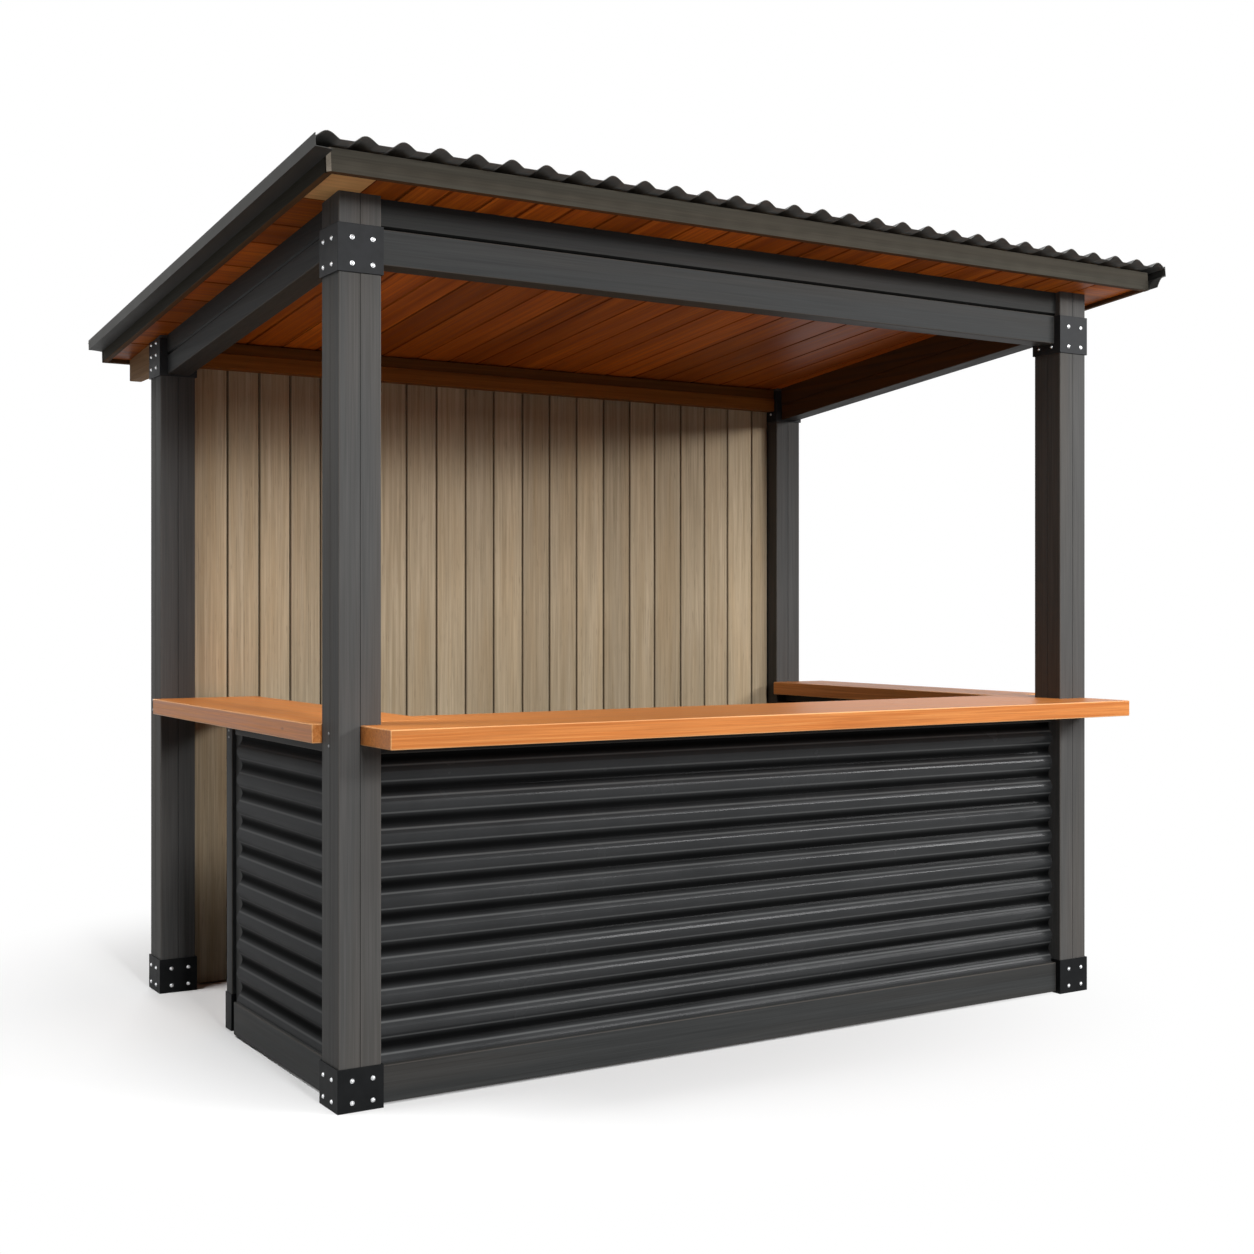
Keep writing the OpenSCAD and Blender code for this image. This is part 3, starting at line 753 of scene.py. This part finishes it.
# %% [markdown]
# ## Corner panels
# At the two front corners of the roof a panel closes the space between the soffits. The left one is clear
# pine, and the right one is stained like the lining. They are one node in the CAD model, so each is a copy
# of it with the other panel deleted.

# %% Part the corner panels
for side, finish, slot in ((-1, pale_pine, "pale_timber"), (1, stained_cedar, "lining_timber")):
    mesh = solid_copy("corner_panels")
    other = [v for v in mesh.verts if v.co.x * side < 0]
    bmesh.ops.delete(mesh, geom=other, context="VERTS")
    ease_edges(mesh, 2.0)
    lay_grain(mesh, "x")
    put(mesh, "corner_panel_" + slot, finish, ["corner_panels"])

# %% [markdown]
# ## Edge boards
# The fascia and barge boards are stained on the outside only. Their lower and inner sides keep the
# brown of the wood, which is a note on those faces. Where the front board meets the left one, its corner is
# planed to a flat: one bevel, with a pale finish of its own, which is a painted highlight.

# %% Build the edge boards
# Width of the flat in millimetres, and how near the corner its edge lies, in metres
CORNER_FLAT = 16.0
CORNER_REACH = 0.05


def edge_board(node, along, inward, corner=None):
    """A fascia or barge board whose lower and inner sides are noted as unstained."""
    mesh = solid_copy(node)
    if corner:
        upright = [e for e in mesh.edges if abs((e.verts[0].co - e.verts[1].co).normalized().z) > 0.9]
        middles = {e: (e.verts[0].co + e.verts[1].co) / 2 for e in upright}
        chosen = [e for e in upright if (middles[e] - corner).length < CORNER_REACH]
        for face in cut_edges(mesh, chosen, CORNER_FLAT, 1, 0.0):
            face.material_index = 1
    ease_edges(mesh, 2.5, note=0.0)
    edge = mesh.faces.layers.float["edge"]
    for face in mesh.faces:
        if face.normal.z < -0.3 or face.normal.dot(inward) > 0.6:
            face[edge] = 1.0
    lay_grain(mesh, along)
    piece = put(mesh, node + "_timber", edge_pine, [node])
    if corner:
        piece.data.materials.append(pale_corner_painted_highlight)


fascia_low, fascia_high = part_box("front_fascia")
front_corner = Vector((fascia_low.x, fascia_low.y, (fascia_low.z + fascia_high.z) / 2))
edge_board("front_fascia", "x", BACK, front_corner)
edge_board("back_fascia", "x", FRONT)
edge_board("left_barge_board", "y", RIGHT)
edge_board("right_barge_board", "y", LEFT)

# %% [markdown]
# ## Counters
# The counters are glued up from staves, which show as lengthwise bands. The staves lie flush, so they are
# drawn in the finish and need no shape. The edges are eased, and the light catches the upper ones.

# %% Ease the counters
eased_timber("front_counter", oiled_larch, "x")
eased_timber("left_counter", knotty_larch, "y")
eased_timber("right_counter", oiled_larch, "y")

# %% [markdown]
# ## Boards with tongue and groove
# The wall and the roof lining are boards with a tongue along one side. Laid up, they leave a narrow dark
# gap with bevelled sides, and the tongue closes it behind. Grooves could be cut into the CAD slab, but then
# the boards would share one grain. So each board is one outline pushed along its length, with its own tone
# and its own stretch of grain, and no two neighbours look alike.
# The joints are where the photograph shows them, in millimetres from the left front corner of the posts.

# %% Board helper and measures
WALL_JOINTS = (267, 388, 508, 628, 746, 864, 982, 1110, 1237, 1362, 1493, 1618, 1746, 1876, 2004, 2129,
               2262, 2386, 2508, 2638)
CEILING_JOINTS = (193, 328, 462, 597, 723, 862, 1008, 1143, 1267, 1402, 1552, 1710, 1867, 1997, 2141,
                  2293, 2442, 2585, 2700)
FRONT_JOINTS = (180, 288, 420, 552, 672, 816, 935, 1087, 1215, 1334, 1493, 1574, 1683, 1809, 1967, 2066,
                2185, 2335, 2455, 2566, 2676)
SIDE_JOINTS = (346, 530, 781, 982, 1202, 1503, 1837)
DOWN = Vector((0.0, math.cos(ROOF_PITCH), -math.sin(ROOF_PITCH)))
UP = Vector((0.0, math.sin(ROOF_PITCH), math.cos(ROOF_PITCH)))
POST_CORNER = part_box("front_left_post")[0]
# The gap between two boards, the wider one of the soffits, and the bevel at its sides
GAP = 5.0 * MM
SOFFIT_GAP = 6.0 * MM
BEVEL = 3.0 * MM
# A board narrower than this is left to its neighbour.
LEAST_W = 0.01


def add_board(mesh, start, along, across, into, length, width, thick, gap=GAP, painted_bevel_light=0.0):
    """One board from its starting corner; its face looks away from the direction into."""
    grain = mesh.verts.layers.float_vector["grain"]
    tone = mesh.faces.layers.float["tone"]
    edge = mesh.faces.layers.float["edge"]
    outline = [
        (BEVEL, 0.0), (width - gap - BEVEL, 0.0), (width - gap, BEVEL), (width - gap, thick / 2),
        (width, thick / 2), (width, thick - BEVEL), (width - BEVEL, thick), (BEVEL, thick),
        (0.0, thick - BEVEL), (0.0, BEVEL)]
    # The first bevel may be painted lighter, a painted highlight; the gap and the tongue are dark, and the
    # last bevel is painted half dark, a painted shade.
    notes = {1: painted_bevel_light, 2: -1.0, 3: -1.0, 9: -0.5}
    shift = grain_shift()
    shade = dice.random()
    rings = []
    for s in (0.0, length):
        ring = []
        for a, u in outline:
            vert = mesh.verts.new(start + along * s + across * a + into * u)
            vert[grain] = Vector((s, a, u)) + shift
            ring.append(vert)
        rings.append(ring)
    for i, face in enumerate(join_rings(mesh, rings)):
        face[tone] = shade
        face[edge] = notes.get(i, 0.0)


def widths(low, high, joints_mm, base):
    """Start and width of each board between two ends, from the joints' places."""
    joints = [base + j * MM for j in joints_mm]
    places = [low] + [j for j in joints if low + LEAST_W < j < high - LEAST_W] + [high]
    return [(a, b - a) for a, b in zip(places, places[1:])]


print("joints in the wall", len(WALL_JOINTS), "and in the ceiling", len(CEILING_JOINTS))

# %% [markdown]
# The wall's boards stand upright, and the bevel at the right of each one is painted lighter, as a painted
# highlight.

# %% Lay the wall boards
PAINTED_BEVEL_LIGHT = 0.8
low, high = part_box("back_wall")
thick = high.y - low.y
rise = high.z - low.z - math.tan(ROOF_PITCH) * thick
mesh = noted(bmesh.new())
for start, width in widths(low.x, high.x, WALL_JOINTS, POST_CORNER.x):
    corner = Vector((start, low.y, low.z))
    add_board(mesh, corner, Vector((0, 0, 1)), RIGHT, BACK, rise, width, thick, painted_bevel_light=PAINTED_BEVEL_LIGHT)
put(mesh, "wall_boards", greyed_larch, ["back_wall"])

# %% [markdown]
# The lining's boards run down the slope over the inside, and stop over the front beam, where the soffit's
# boards take over with joints of their own. Beside the posts the boards lie across, from the barge board
# to the ceiling.

# %% Lay the ceiling and soffit boards
# Thickness of the lining, as in the CAD model
LINING_T = 18.0 * MM


def lining_corner(node):
    """The front lower left corner of a lining slab, its length down the slope and its width."""
    low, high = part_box(node)
    corner = Vector((low.x, low.y, high.z - LINING_T * math.cos(ROOF_PITCH)))
    length = (high.y - low.y - LINING_T * math.sin(ROOF_PITCH)) / math.cos(ROOF_PITCH)
    return corner, length, high.x - low.x


corner, length, width = lining_corner("ceiling")
beam_low, beam_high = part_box("front_beam")
front = ((beam_low.y + beam_high.y) / 2 - corner.y) / math.cos(ROOF_PITCH)
mesh = noted(bmesh.new())
for start, cover in widths(corner.x, corner.x + width, FRONT_JOINTS, POST_CORNER.x):
    place = corner + RIGHT * (start - corner.x)
    add_board(mesh, place, DOWN, RIGHT, UP, front, cover, LINING_T)
for start, cover in widths(corner.x, corner.x + width, CEILING_JOINTS, POST_CORNER.x):
    place = corner + RIGHT * (start - corner.x) + DOWN * front
    add_board(mesh, place, DOWN, RIGHT, UP, length - front, cover, LINING_T)
put(mesh, "ceiling_boards", stained_cedar, ["ceiling"])

for node in ("left_soffit", "right_soffit"):
    corner, length, width = lining_corner(node)
    end = corner.y + length * math.cos(ROOF_PITCH)
    mesh = noted(bmesh.new())
    for start, cover in widths(corner.y, end, SIDE_JOINTS, POST_CORNER.y):
        place = corner + DOWN * ((start - corner.y) / math.cos(ROOF_PITCH))
        add_board(mesh, place, RIGHT, DOWN, UP, width, cover / math.cos(ROOF_PITCH), LINING_T, SOFFIT_GAP)
    put(mesh, node + "_boards", stained_cedar, [node])

# %% [markdown]
# Over the rail on the wall a dark batten fills the gap between the wall and the ceiling, where there is only
# shade: it is painted shade. It is a plain box, fitted between the top of the rail and the lining, and set
# back a little from the rail's face.

# %% Fit the batten
# How dark the batten is painted, as painted shade
BATTEN_PAINTED_SHADE = -0.5
BATTEN_SETBACK = 4 * MM
rail_low, rail_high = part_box("wall_rail")
corner, length, width = lining_corner("ceiling")
under = corner.z - math.tan(ROOF_PITCH) * (rail_high.y - corner.y)
mesh = noted(bmesh.new())
bmesh.ops.create_cube(mesh, size=1.0)
for vert in mesh.verts:
    share = vert.co + Vector((0.5, 0.5, 0.5))
    vert.co = Vector((
        rail_low.x + (rail_high.x - rail_low.x) * share.x,
        rail_low.y + BATTEN_SETBACK + (rail_high.y - rail_low.y - BATTEN_SETBACK) * share.y,
        rail_high.z + (under - rail_high.z) * share.z))
ease_edges(mesh, 2.0, note=0.0)
edge = mesh.faces.layers.float["edge"]
for face in mesh.faces:
    face[edge] = BATTEN_PAINTED_SHADE
lay_grain(mesh, "x")
put(mesh, "painted_shade_batten", cedar_with_painted_shade)
print("batten", round((under - rail_high.z) / MM, 1), "mm high")

# %% [markdown]
# ## Corrugated sheets and trim
# The cladding and the roof are rolled steel sheet, and the flashings are folded from the same steel. The CAD
# model already has the true waves, so nothing is built anew: with smooth shading the short flats along a
# wave read as one curve, while the cut edges stay sharp. The cladding gets its note for the finish, and the
# roof sheet a second finish on its underside.

# %% Smooth the sheets and the trim


def sheet_copy(node):
    """A mesh with all the faces of a CAD sheet."""
    mesh = bmesh.new()
    mesh.from_mesh(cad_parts[node].data)
    bmesh.ops.remove_doubles(mesh, verts=mesh.verts, dist=SAME_POINT)
    return mesh


def note_crests(mesh, outward):
    """Notes how far out each point of a wave lies, from 0 in the trough to 1 on the crest."""
    crest = mesh.verts.layers.float.new("crest")
    reach = [v.co.dot(outward) for v in mesh.verts]
    low, high = min(reach), max(reach)
    for vert in mesh.verts:
        vert[crest] = (vert.co.dot(outward) - low) / (high - low)


# The crest note drives the cladding's painted trough shade and painted highlight line.
for node, finish, outward in (("front_cladding", coil_black, FRONT), ("left_cladding", coil_black_shaded_copy, LEFT),
                              ("right_cladding", coil_black, RIGHT)):
    mesh = sheet_copy(node)
    note_crests(mesh, outward)
    put(mesh, node + "_metal", finish, [node], smooth=True)
mesh = sheet_copy("roof_sheet")
for face in mesh.faces:
    face.material_index = int(face.normal.dot(UP) < 0)
roof_piece = put(mesh, "roof_sheet_metal", coil_charcoal, ["roof_sheet"], smooth=True)
roof_piece.data.materials.append(backing_grey_painted_light)
for node in ("left_flashing", "right_flashing"):
    put(sheet_copy(node), node + "_metal", coil_grey, [node], smooth=True)

# %% [markdown]
# ## Collars and feet
# Bent steel plate wraps each post under the roof and at the ground. The plate's edges are ground round, so
# copies of the solids with a small round are enough.

# %% Ease the steel fittings
STEEL_ROUND = 1.2
for node, finish in (("post_collars", powder_black), ("post_feet", powder_black_shaded_copy), ("jamb_foot", powder_black_shaded_copy)):
    mesh = solid_copy(node)
    ease_edges(mesh, STEEL_ROUND)
    put(mesh, node + "_steel", finish, [node])

# %% [markdown]
# ## Bolts and screws
# Each face of a collar or foot is held by domed bolt heads on washers. They are small, but their bright
# zinc is the first thing the eye finds on the dark steel. A head is a short outline turned round its axis,
# and all heads of a kind are one mesh, which is lighter than a piece for each.

# %% Turn a head
HEAD_STEPS = 12
# Radius and height of a washer and a domed head, in millimetres
BOLT_OUTLINE = [(6.5, 0.0), (6.5, 1.2), (5.2, 1.4), (5.0, 2.6), (3.8, 4.2), (1.8, 4.9)]


def add_head(mesh, place, outward, outline):
    """A fastener head on a surface, from its outline of radius and height in millimetres."""
    outward = outward.normalized()
    first = outward.orthogonal().normalized()
    second = outward.cross(first)
    rings = []
    for radius, height in outline:
        ring = []
        for step in range(HEAD_STEPS):
            a = 2 * math.pi * step / HEAD_STEPS
            reach = (first * math.cos(a) + second * math.sin(a)) * radius * MM
            ring.append(mesh.verts.new(place + reach + outward * height * MM))
        rings.append(ring)
    join_rings(mesh, rings)


print("a bolt head has", HEAD_STEPS * (len(BOLT_OUTLINE) - 1) + 2, "faces")

# %% [markdown]
# The bolts sit where the photograph shows them: two columns on each face, in two rows on the front collars
# and the feet, and in three on the back collars. The front collars have none behind, and the back ones none
# in front. Hidden faces repeat the seen ones. Rows and columns are shares of the plate's height and width.

# %% Place the bolts
# Thickness of the plate and height of a collar's plain face, as in the CAD model
STEEL_T = 5.0 * MM
COLLAR_H = 133.0 * MM
COLUMNS = (0.31, 0.76)
FRONT_ROWS = (0.18, 0.71)
BACK_ROWS = (0.24, 0.58, 0.90)
FOOT_ROWS = (0.22, 0.72)
SIDES = (FRONT, LEFT, RIGHT, BACK)


def bolts_round(mesh, node, z_low, z_high, rows, sides):
    """Bolt heads on the named sides of the steel round a post."""
    low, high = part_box(node)
    centre = (low + high) / 2
    half = (high.x - low.x) / 2 + STEEL_T
    for side in sides:
        sideways = Vector((abs(side.y), abs(side.x), 0))
        for row in rows:
            for column in COLUMNS:
                place = centre + side * half + sideways * half * (2 * column - 1)
                place.z = z_low + (z_high - z_low) * row
                add_head(mesh, place, side, BOLT_OUTLINE)


beam_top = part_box("front_beam")[1].z
collar_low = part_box("post_collars")[0].z
foot_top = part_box("post_feet")[1].z
mesh = bmesh.new()
for node in FRONT_POSTS:
    bolts_round(mesh, node, beam_top - COLLAR_H, beam_top, FRONT_ROWS, SIDES[:3])
for node in BACK_POSTS:
    bolts_round(mesh, node, collar_low, collar_low + COLLAR_H, BACK_ROWS, SIDES[1:])
put(mesh, "collar_bolts", bright_zinc, smooth=True)
mesh = bmesh.new()
for node in FRONT_POSTS + BACK_POSTS:
    bolts_round(mesh, node, 0.0, foot_top, FOOT_ROWS, SIDES)
put(mesh, "foot_bolts", bright_zinc, smooth=True)

# %% [markdown]
# Smaller screws hold the counters to the left posts and the jamb to the counter, one above the other.

# %% Place the small screws
SCREW_OUTLINE = [(4.5, 0.0), (4.5, 0.8), (3.6, 2.0), (1.4, 2.6)]
# Distance behind the posts' front and height, then the heights on the jamb, in millimetres
POST_SCREWS = ((69.8, 1026), (69.8, 992), (1776.8, 1042), (1776.8, 1006))
JAMB_SCREWS = (952, 974)

mesh = bmesh.new()
for y, z in POST_SCREWS:
    add_head(mesh, Vector((POST_CORNER.x, POST_CORNER.y + y * MM, z * MM)), LEFT, SCREW_OUTLINE)
jamb_low, jamb_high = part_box("left_jamb")
for z in JAMB_SCREWS:
    add_head(mesh, Vector((jamb_low.x, (jamb_low.y + jamb_high.y) / 2, z * MM)), LEFT, SCREW_OUTLINE)
put(mesh, "side_screws", dull_zinc, smooth=True)

# %% [markdown]
# On the roof, screws with wide washers go through the crests of the sheet into the purlins. The crests are
# found in the sheet itself: the places across the roof that lie higher than their neighbours.

# %% Place the roof screws
ROOF_OUTLINE = [(9.0, 0.0), (9.0, 0.8), (4.5, 1.4), (4.3, 3.6), (3.0, 4.4)]
# A screw on every third crest; number and width of the purlins, as in the CAD model
CREST_STEP = 3
PURLINS = 5
PURLIN_W = 45.0 * MM

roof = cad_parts["roof_sheet"].data
top_at = {}
for vert in roof.vertices:
    key = round(vert.co.x, 5)
    lift = vert.co.dot(UP)
    top_at[key] = max(lift, top_at.get(key, lift))
places = sorted(top_at)
crests = [b for a, b, c in zip(places, places[1:], places[2:])
          if top_at[b] > top_at[a] and top_at[b] >= top_at[c]]
purlin_low, purlin_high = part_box("purlins")
mesh = bmesh.new()
for i in range(PURLINS):
    share = i / (PURLINS - 1)
    y = purlin_low.y + PURLIN_W / 2 + (purlin_high.y - purlin_low.y - PURLIN_W) * share
    for x in crests[1::CREST_STEP]:
        z = (top_at[x] - y * UP.y) / UP.z
        add_head(mesh, Vector((x, y, z)), UP, ROOF_OUTLINE)
put(mesh, "roof_screws", coil_charcoal, smooth=True)
